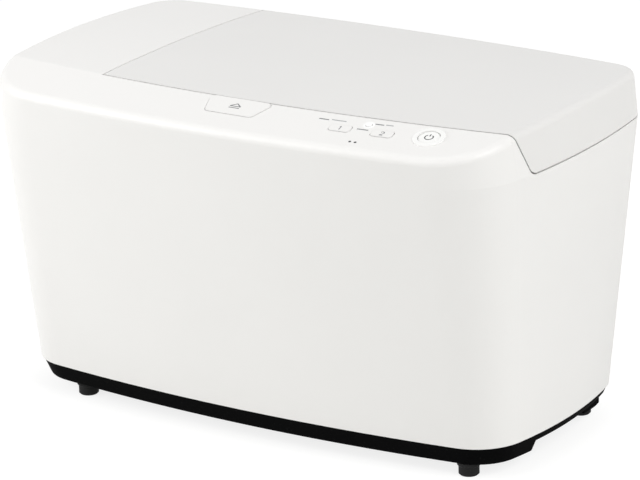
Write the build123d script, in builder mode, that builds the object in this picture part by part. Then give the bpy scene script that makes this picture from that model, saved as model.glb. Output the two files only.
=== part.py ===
from build123d import *
from math import asin, atan, cos, radians, sin, sqrt, tan
import os

# Counter-top electric food waste composter, millimetres.
# Origin: on the floor, under the middle of the body. +X right, +Y to the back, +Z up.

os.makedirs("parts", exist_ok=True)

# ---- outer form: a bowed box that flares towards the top ----
body_top = 245              # top edge above the floor
body_base = 9.5             # underside of the base tray
half_length_top = 215       # middle to end, at the top
half_length_base = 203.3
front_depth_top = 130.3     # middle to front wall, at the top
front_depth_base = 96.3
rear_depth_top = 129.2
rear_depth_base = 93.2
end_bow = 10.5              # how far the end walls bulge
long_bow = 14               # how far the front and rear walls bulge
front_corner_top = 54
front_corner_base = 36
rear_corner_top = 27
rear_corner_base = 20
crown_radius = 1930         # gentle crown of the top, front to back
crown_rise = 2.5            # middle of the top above the top edge
strip_depth = 43            # control strip, measured in plan
strip_drop = 11.3           # fall of the strip towards the front
bow_sweep = 20              # bowed surfaces are swept this many degrees either side of the middle
front_edge_round = 6
rear_edge_round = 5
rim_lean = 4.5                # ends and rear lean back in by this much over the lid's height
wall = 2.6

# ---- lid ----
fixed_top_length = 97       # fixed part of the top, left of the lid
lid_skirt = 30.5            # height of the lid at its right end
lid_front_lean = 16         # front face of the lid leans back by this over its height
lid_front_round = 8
lid_gap = 1.0               # open seam round the lid
lid_top_wall = 2.8
lid_panel_thickness = 2.2
lid_panel_rise = 5          # underside of the inner panel above the skirt's lower edge
panel_clearance = 0.4
hinge_spacing = 140
hinge_inset = 0.6           # hinge axis inside the rearmost line of the body
knuckle_radius = 4.2
lid_post_inset = 22
lid_post_front = 35.3        # front lid posts behind the seam
lid_post_rear = 33.2         # rear lid posts in from the rear edge of the top
lid_post_end = 35.5         # right lid posts from the end of the base
lid_post_radius = 4
lid_screw_length = 10
gasket_width = 6
gasket_gap = 0.3            # gasket above the bucket's rim
knuckle_length = 24
ear_length = 10
knuckle_end_gap = 0.4
knuckle_swing_gap = 0.5
hinge_root_depth = 9        # knuckle roots reach this far in front of the axis
hinge_root_height = 7
hinge_root_back = 1.5
hinge_pin_radius = 2
pin_clearance = 0.05

# ---- base ----
shell_edge = 23.7           # lower edge of the white casing
base_inset = 0.8
base_wall = 2.4
base_floor = 3
base_tuck = 4               # underside of the base stands in by this much more than its top
base_edge_round = 2.5
lip_height = 5
lip_clearance = 0.3
lip_wall = 2
grip_front = 38.8             # finger grip under each end, forward of the middle
grip_rear = 44
grip_slope = 3
grip_roof = 18
grip_reach = 24
grip_wall = 2.4
tail_reach = 12             # shallow rest of the grip, that runs on round the rear corner
tail_bend = 65            # from here the tail crosses the corner
tail_run = 29.5
tail_rise = 44
foot_middle = 8             # feet stand this far right of the middle
front_foot_spacing = 320
rear_foot_spacing = 336
front_foot_y = -72
rear_foot_y = 66
foot_radius = 8.2
foot_base_radius = 7.2
foot_groove = 1
foot_spigot_radius = 4
post_end = 20.3             # corner posts from the end of the base
post_y = 60
post_radius = 5
post_top = 90
rib_thickness = 2
screw_radius = 1.5
screw_clearance = 0.1
screw_head_radius = 3.2
screw_head_height = 2
screw_length = 16
screw_seat = 4              # boss left above a screw head
boss_radius = 6.2
vent_slot_length = 42
vent_slot_width = 3
vent_slot_pitch = 8
vent_slots = 7

# ---- chamber, bucket and stirrer, all on the drive axis ----
bucket_taper = 18           # floor radius less than the rim's
seal_clearance = 8          # gasket to the walls of the lid's room
bucket_floor = 78           # underside of the bucket
bucket_wall = 2
bucket_rim_width = 6
bucket_rim_height = 2.5
liner_gap = 3
liner_wall = 1.2
liner_floor = 60.5
liner_rim_width = 5
grab_length = 34            # rim grips for lifting the bucket
grab_reach = 9
blade_thickness = 3
blade_wall_gap = 5
blade_tip_height = 34
blade_width = 13
hub_radius = 10
hub_height = 34
shaft_radius = 5
shaft_clearance = 0.05
coupling_radius = 15
coupling_plate = 4
dog_height = 4
dog_gap = 0.4
dog_count = 3
dog_angle = 50
dog_width = 6

# ---- chassis and belt drive ----
chassis_height = 34         # underside of the chassis plate
chassis_plate_thickness = 2
chassis_left = -118
chassis_right = 130
chassis_front = -62
chassis_rear = 84
pillar_radius = 6
pulley_flange_radius = 55
pulley_groove = 3
pulley_flange_thickness = 1.6
belt_width = 7
belt_thickness = 2.2
belt_clearance = 0.3
belt_side_gap = 0.5
pulley_low = 18             # underside of both pulleys
small_pulley_flange_radius = 14
pulley_hole_radius = 12
pulley_holes = 5
motor_spacing = 123.5       # drive axis to motor axis
motor_radius = 30
motor_height = 82
motor_boss_radius = 11
motor_boss_height = 4
motor_shaft_radius = 3
motor_band_height = 10
housing_flange_radius = 27
housing_flange = 4
housing_radius = 15
bearing_radius = 11
bearing_height = 7
heater_radius = 42
heater_tube = 3.6
thermostat_radius = 8
thermostat_height = 8
thermostat_place = 24

# ---- exhaust: fan, duct and carbon filter in the left end ----
fan_end = 70                # fan from the left end of the top
fan_y = 0
fan_z = 163
fan_scroll_radius = 38
fan_width = 34
fan_wall = 1.8
fan_inlet_radius = 18
fan_outlet_height = 26
impeller_radius = 30
impeller_width = 24
impeller_blades = 14
impeller_plate = 1.5
impeller_hub = 8
fan_shaft_radius = 1.6
fan_motor_radius = 14
fan_motor_length = 18
filter_end = 76
filter_z = 172
filter_width = 60           # opening in the rear wall
filter_height = 60
filter_front = 50
filter_tunnel_wall = 2
filter_cover_gap = 0.5
filter_slide_gap = 0.5
filter_tray_wall = 1.6
filter_length = 40
grille_slot_width = 3
grille_slot_pitch = 7
grille_slots = 6
duct_wall = 1.5

# ---- controls on the strip ----
latch_x = 3
latch_back_width = 52
latch_front_width = 38
latch_depth = 20
latch_round = 4
latch_thickness = 2.4
control_gap = 0.35
control_proud = 0.3
latch_stem_reach = 18
latch_stem_depth = 3
bracket_gap = 0.4
bracket_wall = 3
catch_nose = 2.5            # catch reaches this far towards the lever
lever_pivot_back = 8.5      # lever's pin behind the seam and below the deck
lever_pivot_drop = 13.9
lever_width = 14
lever_pin_radius = 2
lever_touch_gap = 0.3
striker_gap = 0.5
striker_depth = 11          # catch below the deck's top
slot_depth = 9              # slot in the deck for the catch, front to back
slot_side_gap = 1
striker_width = 14
key_ends = (125, 93.5)      # keys from the right end of the top
key_seat = 17               # keys forward of the seam
key_length = 16
key_width = 8
key_travel = 1
key_flange = 1.2
key_seat_gap = 0.2
switch_height = 5
power_end = 60.5
power_seat = 14.5
power_radius = 7.4
power_travel = 1.5
ring_radius = 11.4
ring_proud = 0.8
ring_sleeve = 1.4
lamp_end = 108
lamp_seat = 9
lamp_radius = 2.4
board_end = 93
board_seat = 19
board_length = 124
board_width = 22
board_thickness = 1.6
board_sink = 12             # board below the strip's surface
board_boss_radius = 3
board_boss_inset = 5
power_board_end = 35.3
power_board_length = 90
power_board_height = 70
power_part_size = 26
inlet_end = 53.3
inlet_z = 46
inlet_radius = 9
inlet_bore = 3.6
inlet_flange = 2
inlet_proud = 3            # grommet stands this far out of the wall

# ---- worked out from the sizes above ----
form_height = body_top - body_base
lid_bottom = body_top - lid_skirt
deck_top = lid_bottom - lid_gap
deck_under = deck_top - wall
bow_radius = (long_bow ** 2 + (half_length_top - end_bow) ** 2) / (2 * long_bow)
bow_centre = bow_radius - front_depth_top      # Y of the front wall's centre of curvature
seam_y = strip_depth - front_depth_top
crown_top = body_top + crown_rise
seam_z = crown_top - crown_radius + sqrt(crown_radius ** 2 - seam_y ** 2)
strip_slope = atan(strip_drop / strip_depth)
lid_lean = atan(lid_front_lean / (seam_z - lid_bottom))
reach = 1.6 * front_depth_top                  # beyond the body, for cutting tools
tall = 1.2 * body_top
hinge_y = rear_depth_base + (rear_depth_top - rear_depth_base) * (lid_bottom - body_base) / form_height
hinge_y = hinge_y - hinge_inset
hinge_z = lid_bottom
lid_left = fixed_top_length - half_length_top
lid_middle = (lid_left + half_length_top) / 2
hinge_places = (lid_middle - hinge_spacing / 2, lid_middle + hinge_spacing / 2)
post_x = half_length_base - post_end
key_places = [half_length_top - end for end in key_ends]
power_x = half_length_top - power_end
lamp_x = half_length_top - lamp_end
board_x = half_length_top - board_end
fan_x = fan_end - half_length_top
filter_x = filter_end - half_length_top
power_board_x = half_length_base - power_board_end
inlet_x = half_length_base - inlet_end
lever_pivot_y = seam_y + lever_pivot_back
lever_pivot_z = deck_under - lever_pivot_drop
bow_axis = Axis((0, bow_centre, 0), (0, 0, 1))
sweep_sine = sin(radians(bow_sweep))
sweep_cosine = cos(radians(bow_sweep))
sweep_plane = Plane(
    origin=(-bow_centre * sweep_sine, bow_centre - bow_centre * sweep_cosine, 0),
    x_dir=(sweep_sine, sweep_cosine, 0),
    z_dir=(sweep_cosine, -sweep_sine, 0),
)


def draft(base_size, top_size, z):
    """Size of a drafted wall at height z."""
    return base_size + (top_size - base_size) * (z - body_base) / form_height


# the bucket fills the room under the lid, front to back
seam_deck_y = seam_y + (seam_z - deck_top) * lid_front_lean / (seam_z - lid_bottom)
room_front = seam_deck_y + wall
room_rear = draft(rear_depth_base, rear_depth_top, deck_under) - wall
drive_x = lid_middle
drive_y = (room_front + room_rear) / 2
bucket_top_radius = (room_rear - room_front) / 2 - gasket_width - 1 - seal_clearance
bucket_floor_radius = bucket_top_radius - bucket_taper
motor_x = drive_x - motor_spacing


def outline(z, inset=0):
    """Bowed rectangle of the body at height z, drawn inwards by inset."""
    lean = rim_lean * max(0, z - lid_bottom) / lid_skirt
    end = draft(half_length_base, half_length_top, z) - lean - inset
    front = draft(front_depth_base, front_depth_top, z) - inset
    rear = draft(rear_depth_base, rear_depth_top, z) - lean - inset
    corner_x = end - end_bow
    front_y = long_bow - front
    rear_y = rear - long_bow
    with BuildSketch(Plane.XY.offset(z)) as section:
        with BuildLine():
            ThreePointArc((-corner_x, front_y), (0, -front), (corner_x, front_y))
            ThreePointArc((corner_x, front_y), (end, 0), (corner_x, rear_y))
            ThreePointArc((corner_x, rear_y), (0, rear), (-corner_x, rear_y))
            ThreePointArc((-corner_x, rear_y), (-end, 0), (-corner_x, front_y))
        make_face()
        front_round = draft(front_corner_base, front_corner_top, z) - inset
        rear_round = draft(rear_corner_base, rear_corner_top, z) - inset
        fillet(section.vertices().group_by(Axis.Y)[0], front_round)
        fillet(section.vertices().group_by(Axis.Y)[-1], rear_round)
    return section.sketch


def cap(drop=0):
    """Everything below the crowned top and the sloping strip, lowered by drop."""
    back_z = crown_top - crown_radius + sqrt(crown_radius ** 2 - reach ** 2)
    front_z = seam_z - (reach + seam_y) * strip_drop / strip_depth
    with BuildPart() as region:
        with BuildSketch(sweep_plane):
            with BuildLine():
                Polyline(
                    (seam_y, seam_z - drop),
                    (-reach, front_z - drop),
                    (-reach, 0),
                    (reach, 0),
                    (reach, back_z - drop),
                )
                ThreePointArc((reach, back_z - drop), (0, crown_top - drop), (seam_y, seam_z - drop))
            make_face()
        revolve(axis=bow_axis, revolution_arc=2 * bow_sweep)
    return region.part


def body_form(inset=0, drop=0):
    """Solid of the whole body, inset by a wall and lowered by drop."""
    below = cap(drop)
    low = outline(body_base, inset)
    middle = outline(lid_bottom, inset)
    high = outline(body_top + front_edge_round, inset)
    with BuildPart() as form:
        loft([low.face(), middle.face(), high.face()], ruled=True)
        add(below, mode=Mode.INTERSECT)
    return form.part


def lid_block(grow=0, floor=lid_bottom, corner=lid_front_round):
    """The room that the lid takes, grown by a gap or a wall."""
    shift = grow / cos(lid_lean)
    low_y = seam_y + (seam_z - floor) * lid_front_lean / (seam_z - lid_bottom) - shift
    high_y = seam_y + (seam_z - tall) * lid_front_lean / (seam_z - lid_bottom) - shift
    with BuildPart() as block:
        with BuildSketch(sweep_plane):
            with BuildLine():
                if corner > 0:
                    front = Vector(high_y - low_y, tall - floor).normalized()
                    middle = (front + Vector(1, 0)).normalized()
                    half_angle = radians(front.get_angle(Vector(1, 0)) / 2)
                    tip = Vector(low_y, floor)
                    high_end = tip + front * (corner / tan(half_angle))
                    low_end = tip + Vector(1, 0) * (corner / tan(half_angle))
                    round_middle = tip + middle * (corner / sin(half_angle) - corner)
                    Line((high_y, tall), high_end)
                    ThreePointArc(high_end, round_middle, low_end)
                    Line(low_end, (reach, floor))
                else:
                    Line((high_y, tall), (low_y, floor))
                    Line((low_y, floor), (reach, floor))
                Line((reach, floor), (reach, tall))
                Line((reach, tall), (high_y, tall))
            make_face()
        revolve(axis=bow_axis, revolution_arc=2 * bow_sweep)
        split(bisect_by=Plane.YZ.offset(lid_left - grow), keep=Keep.TOP)
    return block.part


def strip_plane(x, forward):
    """Plane on the control strip at x, a distance forward of the seam, facing out of the strip."""
    distance = bow_radius - strip_depth + forward
    turn = asin(x / distance)
    place = (x, bow_centre - distance * cos(turn), seam_z - forward * strip_drop / strip_depth)
    across = (cos(turn), sin(turn), 0)
    out = (sin(turn) * sin(strip_slope), -cos(turn) * sin(strip_slope), cos(strip_slope))
    return Plane(origin=place, x_dir=across, z_dir=out)


def box_part(x_span, y_span, z_span):
    """Plain box from three spans, for cutting or trimming."""
    with BuildPart() as block:
        with Locations((x_span[0], y_span[0], z_span[0])):
            Box(
                x_span[1] - x_span[0],
                y_span[1] - y_span[0],
                z_span[1] - z_span[0],
                align=(Align.MIN, Align.MIN, Align.MIN),
            )
    return block.part


def save(name, part):
    """Label a finished sub-part and write its STEP file."""
    part.label = name
    export_step(part, f"parts/{name}.step")


# ---- the whole outer form, with its rounded top edges ----
rough_form = body_form()
with BuildPart() as outer:
    add(rough_form)
    rim = outer.edges().filter_by_position(Axis.Z, body_top - strip_drop - 4, tall)
    rim = rim.filter_by(GeomType.CIRCLE, reverse=True)
    fillet(rim.filter_by_position(Axis.Y, -reach, seam_y), front_edge_round)
    rim = outer.edges().filter_by_position(Axis.Z, body_top - 4, tall)
    fillet(rim.filter_by_position(Axis.Y, 0, reach), rear_edge_round)
outer_form = outer.part
inner_form = body_form(wall, wall)

recess = lid_block(lid_gap, deck_top, lid_front_round + lid_gap)
recess_wall = lid_block(lid_gap + wall, deck_under, lid_front_round)
under_shell = box_part((-reach * 2, reach * 2), (-reach, reach), (0, shell_edge))

# room inside the casing: under the deck, under the strip and in the left end
with BuildPart() as casing_room:
    add(inner_form)
    add(recess_wall, mode=Mode.SUBTRACT)
casing_hollow = casing_room.part

# corner posts that the base is screwed to, each with a rib to the end wall above the base's lip
with BuildPart() as post_maker:
    with BuildSketch(Plane.XY.offset(shell_edge)):
        with GridLocations(2 * post_x, 2 * post_y, 2, 2):
            Circle(post_radius)
    extrude(amount=post_top - shell_edge)
    with BuildSketch(Plane.XY.offset(shell_edge + 2 * lip_height)):
        with GridLocations(2 * half_length_base, 2 * post_y, 2, 2):
            Rectangle(2 * (half_length_base - post_x), rib_thickness)
    extrude(amount=post_top - shell_edge - 2 * lip_height)
    with BuildSketch(Plane.XY.offset(shell_edge)):
        with GridLocations(2 * post_x, 2 * post_y, 2, 2):
            Circle(screw_radius + screw_clearance)
    extrude(amount=screw_length, mode=Mode.SUBTRACT)
    add(inner_form, mode=Mode.INTERSECT)
posts = post_maker.part

# liner radii follow the bucket's, so their gap is the same all the way down
bucket_rim_top = deck_top + bucket_rim_height
bucket_slope = (bucket_top_radius - bucket_floor_radius) / (deck_top - bucket_floor)


def bucket_radius(z):
    """Inside radius of the tapered bucket at height z."""
    return bucket_floor_radius + bucket_slope * (z - bucket_floor)


liner_top_radius = bucket_radius(deck_under) + bucket_wall + liner_gap
liner_floor_radius = bucket_radius(liner_floor) + bucket_wall + liner_gap
deck_hole_radius = bucket_top_radius + bucket_wall + 1

# striker and latch places, on the deck just behind the front riser
slot_front = seam_deck_y + lid_front_round / 2
slot_rear = slot_front + slot_depth
strike_y = slot_front + 3.5

filter_low = filter_z - filter_height / 2
filter_high = filter_z + filter_height / 2
filter_left = filter_x - filter_width / 2
filter_right = filter_x + filter_width / 2
filter_hole = box_part((filter_left, filter_right), (filter_front, reach), (filter_low, filter_high))


def hinge_roots(places, length, gap, below):
    """Knuckle barrels on the hinge axis, with roots that run down or up into their wall."""
    low = hinge_z - hinge_root_height if below else hinge_z
    with BuildPart() as roots:
        for place in places:
            with BuildSketch(Plane.YZ.offset(place + gap)):
                with Locations((hinge_y, hinge_z)):
                    Circle(knuckle_radius)
                with Locations((hinge_y - hinge_root_depth, low)):
                    Rectangle(
                        hinge_root_depth + hinge_root_back,
                        hinge_root_height,
                        align=(Align.MIN, Align.MIN),
                    )
            extrude(amount=length - 2 * gap)
    return roots.part


def hinge_notches(places, length):
    """Room for the other leaf's knuckles to turn in."""
    with BuildPart() as notches:
        for place in places:
            with BuildSketch(Plane.YZ.offset(place)):
                with Locations((hinge_y, hinge_z)):
                    Circle(knuckle_radius + knuckle_swing_gap)
            extrude(amount=length)
    return notches.part


lid_knuckles = [x - knuckle_length / 2 for x in hinge_places]
ear_starts = [x - knuckle_length / 2 - ear_length for x in hinge_places]
ear_starts = ear_starts + [x + knuckle_length / 2 for x in hinge_places]
with BuildPart() as bore_maker:
    for place in hinge_places:
        with BuildSketch(Plane.YZ.offset(place - reach / 4)):
            with Locations((hinge_y, hinge_z)):
                Circle(hinge_pin_radius + pin_clearance)
        extrude(amount=reach / 2)
hinge_bores = bore_maker.part
casing_ears = hinge_roots(ear_starts, ear_length, 0, True)
casing_notches = hinge_notches(lid_knuckles, knuckle_length)
lid_roots = hinge_roots(lid_knuckles, knuckle_length, knuckle_end_gap, False)
lid_notches = hinge_notches(
    [start - knuckle_end_gap for start in ear_starts], ear_length + 2 * knuckle_end_gap
)

# bosses under the strip that carry the control board
board_plane = strip_plane(board_x, board_seat).offset(-board_sink)
board_boss_grid = (board_length - 2 * board_boss_inset, board_width - 2 * board_boss_inset)
with BuildPart() as board_boss_maker:
    with BuildSketch(board_plane):
        with GridLocations(board_boss_grid[0], board_boss_grid[1], 2, 2):
            Circle(board_boss_radius)
    extrude(amount=board_sink - wall / 2)
board_bosses = board_boss_maker.part

# openings in the strip for the controls
latch_plane = strip_plane(latch_x, latch_depth / 2 + control_gap)
key_planes = [strip_plane(x, key_seat) for x in key_places]
power_plane = strip_plane(power_x, power_seat)
lamp_plane = strip_plane(lamp_x, lamp_seat)


def latch_shape(plane, grow=0):
    """Face of the latch button: wide at the seam, narrower in front, with round front corners."""
    half = latch_depth / 2 + grow
    with BuildSketch(plane) as face:
        with BuildLine():
            Polyline(
                (-latch_back_width / 2 - grow, half),
                (-latch_front_width / 2 - grow, -half),
                (latch_front_width / 2 + grow, -half),
                (latch_back_width / 2 + grow, half),
                close=True,
            )
        make_face()
        fillet(face.vertices(), latch_round + grow)
    return face.sketch


def key_shape(plane, grow=0):
    """Face of a small key."""
    with BuildSketch(plane) as face:
        RectangleRounded(key_length + 2 * grow, key_width + 2 * grow, key_width / 3 + grow)
    return face.sketch


def disc_shape(plane, radius):
    """Round face on a plane."""
    with BuildSketch(plane) as face:
        Circle(radius)
    return face.sketch


with BuildPart() as opening_maker:
    extrude(latch_shape(latch_plane, control_gap), amount=3 * wall, both=True)
    for plane in key_planes:
        extrude(key_shape(plane, control_gap), amount=3 * wall, both=True)
    extrude(disc_shape(power_plane, power_radius + ring_sleeve + 2 * control_gap), amount=3 * wall, both=True)
    extrude(disc_shape(lamp_plane, lamp_radius), amount=3 * wall, both=True)
control_openings = opening_maker.part

# ---- white casing: front, ends, strip, fixed left top and the deck under the lid ----
with BuildPart() as main_casing:
    add(outer_form)
    add(under_shell, mode=Mode.SUBTRACT)
    add(recess, mode=Mode.SUBTRACT)
    add(casing_hollow, mode=Mode.SUBTRACT)
    add(posts)
    add(board_bosses)
    add(control_openings, mode=Mode.SUBTRACT)
    add(filter_hole, mode=Mode.SUBTRACT)
    with BuildSketch(Plane.XY.offset(deck_top)):
        with Locations((drive_x, drive_y)):
            Circle(deck_hole_radius)
        with Locations((latch_x, (slot_front + slot_rear) / 2)):
            Rectangle(striker_width + 2 * slot_side_gap, slot_depth)
    extrude(amount=-2 * wall, mode=Mode.SUBTRACT)
    add(casing_notches, mode=Mode.SUBTRACT)
    add(casing_ears)
    add(hinge_bores, mode=Mode.SUBTRACT)
    with BuildSketch(Plane.XZ):
        with Locations((inlet_x, inlet_z)):
            Circle(inlet_radius)
    extrude(amount=-reach, mode=Mode.SUBTRACT)
save("main_casing", main_casing.part)

# ---- lid: outer shell, inner panel, gasket, catch ----
lid_room_block = lid_block(-wall, -reach, 0)
lid_inside = body_form(wall, lid_top_wall)
lid_solid_block = lid_block()
with BuildPart() as lid_room:
    add(lid_inside)
    add(lid_room_block, mode=Mode.INTERSECT)
lid_hollow = lid_room.part
panel_low = lid_bottom + lid_panel_rise
panel_high = panel_low + lid_panel_thickness
lid_post_ys = (seam_y + lid_post_front, rear_depth_top - lid_post_rear)
lid_post_places = [(lid_left + lid_post_inset, y) for y in lid_post_ys]
lid_post_places = lid_post_places + [
    (half_length_top - lid_post_end, y) for y in lid_post_ys
]
with BuildPart() as lid_post_maker:
    with BuildSketch(Plane.XY.offset(panel_high)):
        with Locations(*lid_post_places):
            Circle(lid_post_radius)
    extrude(amount=lid_skirt)
    with BuildSketch(Plane.XY.offset(panel_high)):
        with Locations(*lid_post_places):
            Circle(screw_radius + screw_clearance)
    extrude(amount=lid_screw_length, mode=Mode.SUBTRACT)
    add(lid_inside, mode=Mode.INTERSECT)
lid_posts = lid_post_maker.part
with BuildPart() as lid_shell:
    add(outer_form)
    add(lid_solid_block, mode=Mode.INTERSECT)
    add(lid_hollow, mode=Mode.SUBTRACT)
    add(lid_notches, mode=Mode.SUBTRACT)
    add(lid_roots)
    add(lid_posts)
    add(hinge_bores, mode=Mode.SUBTRACT)
save("lid_shell", lid_shell.part)

inner_panel_form = body_form(wall + panel_clearance, lid_top_wall)
inner_panel_block = lid_block(-wall - panel_clearance, panel_low, 0)
above_panel = box_part((-reach * 2, reach * 2), (-reach, reach), (panel_high, tall))
with BuildPart() as lid_panel:
    add(inner_panel_form)
    add(inner_panel_block, mode=Mode.INTERSECT)
    add(above_panel, mode=Mode.SUBTRACT)
    with BuildSketch(Plane.XY.offset(panel_low)):
        for place in hinge_places:
            with Locations((place, hinge_y)):
                Rectangle(knuckle_length + 2 * panel_clearance, 2 * (hinge_root_depth + panel_clearance))
        with Locations(*lid_post_places):
            Circle(screw_radius + screw_clearance)
    extrude(amount=lid_panel_thickness, mode=Mode.SUBTRACT)
    with BuildSketch(Plane.XY.offset(panel_high)):
        with Locations((drive_x, drive_y)):
            Circle(bucket_top_radius - gasket_width)
            Circle(bucket_top_radius - gasket_width - wall, mode=Mode.SUBTRACT)
    extrude(amount=wall)
save("lid_panel", lid_panel.part)

with BuildPart() as lid_gasket:
    with BuildSketch(Plane.XZ.offset(-drive_y)):
        with BuildLine():
            ring_in = drive_x + bucket_top_radius + 1
            ring_low = bucket_rim_top + gasket_gap
            Polyline(
                (ring_in, panel_low),
                (ring_in + gasket_width, panel_low),
                (ring_in + gasket_width - 1, ring_low + 1),
                (ring_in + gasket_width - 1.8, ring_low),
                (ring_in + 1.8, ring_low),
                (ring_in + 1, ring_low + 1),
                close=True,
            )
        make_face()
    revolve(axis=Axis((drive_x, drive_y, 0), (0, 0, 1)))
save("lid_gasket", lid_gasket.part)

with BuildPart() as lid_catch:
    with BuildSketch(Plane.YZ.offset(latch_x - striker_width / 2)):
        with BuildLine():
            catch_low = deck_top - striker_depth
            Polyline(
                (strike_y - catch_nose, catch_low + 2),
                (strike_y - 1, catch_low),
                (strike_y + 3, catch_low),
                (strike_y + 3, panel_low - 2),
                (strike_y + 10, panel_low - 2),
                (strike_y + 10, panel_low),
                (strike_y, panel_low),
                (strike_y, catch_low + 4),
                (strike_y - catch_nose, catch_low + 4),
                close=True,
            )
        make_face()
    extrude(amount=striker_width)
save("lid_catch", lid_catch.part)


def screws(places, seat, length, up=True):
    """Pan-head screws whose heads bear on the height seat, pointing up or down."""
    sense = 1 if up else -1
    with BuildPart() as group:
        with BuildSketch(Plane.XY.offset(seat)):
            with Locations(*places):
                Circle(screw_head_radius)
        extrude(amount=-sense * screw_head_height)
        with BuildSketch(Plane.XY.offset(seat)):
            with Locations(*places):
                Circle(screw_radius)
        extrude(amount=sense * length)
    return group.part


save("lid_screws", screws(lid_post_places, panel_low, lid_screw_length))

with BuildPart() as hinge_pins:
    for place in hinge_places:
        with BuildSketch(Plane.YZ.offset(place - knuckle_length / 2 - ear_length)):
            with Locations((hinge_y, hinge_z)):
                Circle(hinge_pin_radius)
        extrude(amount=knuckle_length + 2 * ear_length)
save("hinge_pins", hinge_pins.part)

# ---- black base tray with a finger grip under each end ----
base_low = outline(body_base, base_inset + base_tuck)
base_high = outline(shell_edge, base_inset)
room_low = outline(body_base + base_floor, base_inset + base_tuck + base_wall)
room_high = outline(shell_edge + 1, base_inset + base_wall)
lip_low_out = outline(shell_edge - lip_height, wall + lip_clearance)
lip_high_out = outline(shell_edge + lip_height, wall + lip_clearance)
lip_low_in = outline(shell_edge - lip_height, wall + lip_clearance + lip_wall)
lip_high_in = outline(shell_edge + lip_height, wall + lip_clearance + lip_wall)
foot_places = [
    (foot_middle + side * spacing / 2, y)
    for side in (-1, 1)
    for spacing, y in ((front_foot_spacing, front_foot_y), (rear_foot_spacing, rear_foot_y))
]
post_places = [(x, y) for x in (-post_x, post_x) for y in (-post_y, post_y)]
pillar_places = [
    (x, y)
    for x in (chassis_left + pillar_radius + 2, chassis_right - pillar_radius - 2)
    for y in (chassis_front + pillar_radius + 2, chassis_rear - pillar_radius - 2)
]


def grip_room(grow):
    """Room of the finger grips, grown by a wall: deep under the hand, shallow round the rear corner."""
    tail_x = half_length_base - tail_reach - grow
    with BuildPart() as room:
        with BuildSketch(Plane.YZ.offset(half_length_base - grip_reach - grow)):
            with BuildLine():
                Polyline(
                    (-grip_front - grow, 0),
                    (grip_slope - grip_front - grow, grip_roof + grow),
                    (grip_rear + grow, grip_roof + grow),
                    (grip_rear + grow, 0),
                    close=True,
                )
            make_face()
        extrude(amount=2 * grip_reach)
        with BuildSketch():
            with BuildLine():
                Polyline(
                    (tail_x, grip_front),
                    (tail_x, tail_bend),
                    (tail_x - tail_run, tail_bend + tail_rise),
                    (reach * 2, tail_bend + tail_rise),
                    (reach * 2, grip_front),
                    close=True,
                )
            make_face()
        extrude(amount=grip_roof + grow)
        mirror(about=Plane.YZ)
    return room.part


grips = grip_room(0)
grip_walls = grip_room(grip_wall)
with BuildPart() as base_room:
    loft([room_low.face(), room_high.face()], ruled=True)
    add(grip_walls, mode=Mode.SUBTRACT)
    with BuildSketch(Plane.XY.offset(body_base + base_floor)):
        with Locations(*post_places):
            Circle(boss_radius)
        with Locations(*pillar_places):
            Circle(pillar_radius)
    extrude(amount=shell_edge, mode=Mode.SUBTRACT)
base_hollow = base_room.part
with BuildPart() as base_lip:
    loft([lip_low_out.face(), lip_high_out.face()], ruled=True)
    loft([lip_low_in.face(), lip_high_in.face()], ruled=True, mode=Mode.SUBTRACT)
lip_ring = base_lip.part
with BuildPart() as base_tray:
    loft([base_low.face(), base_high.face()], ruled=True)
    fillet(base_tray.faces().sort_by(Axis.Z)[0].edges(), base_edge_round)
    add(base_hollow, mode=Mode.SUBTRACT)
    add(lip_ring)
    add(grips, mode=Mode.SUBTRACT)
    with BuildSketch(Plane.XY.offset(shell_edge)):
        with Locations(*pillar_places):
            Circle(pillar_radius)
    extrude(amount=chassis_height - shell_edge)
    with BuildSketch(Plane.XY.offset(body_base)):
        with Locations(*foot_places):
            Circle(foot_spigot_radius + screw_clearance)
        with Locations(*post_places):
            Circle(screw_radius + 2 * screw_clearance)
        with Locations((motor_x, 0)):
            with GridLocations(vent_slot_pitch, 1, vent_slots, 1):
                SlotOverall(vent_slot_length, vent_slot_width, rotation=90)
    extrude(amount=shell_edge, mode=Mode.SUBTRACT)
    with BuildSketch(Plane.XY.offset(body_base)):
        with Locations(*post_places):
            Circle(screw_head_radius + 2 * screw_clearance)
    extrude(amount=shell_edge - screw_seat - body_base, mode=Mode.SUBTRACT)
    with BuildSketch(Plane.XY.offset(chassis_height)):
        with Locations(*pillar_places):
            Circle(screw_radius + screw_clearance)
    extrude(amount=-screw_length, mode=Mode.SUBTRACT)
save("base_tray", base_tray.part)
save("base_screws", screws(post_places, shell_edge - screw_seat, screw_length))

with BuildPart() as rubber_feet:
    for place in foot_places:
        with BuildSketch(Plane.XZ.offset(-place[1])):
            with BuildLine():
                Polyline(
                    (place[0], 0),
                    (place[0] + foot_base_radius - 1, 0),
                    (place[0] + foot_base_radius, 1),
                    (place[0] + foot_radius - foot_groove, body_base - 3),
                    (place[0] + foot_radius, body_base - 2),
                    (place[0] + foot_radius, body_base),
                    (place[0] + foot_spigot_radius, body_base),
                    (place[0] + foot_spigot_radius, body_base + base_floor),
                    (place[0], body_base + base_floor),
                    close=True,
                )
            make_face()
        revolve(axis=Axis((place[0], place[1], 0), (0, 0, 1)))
save("rubber_feet", rubber_feet.part)

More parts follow.
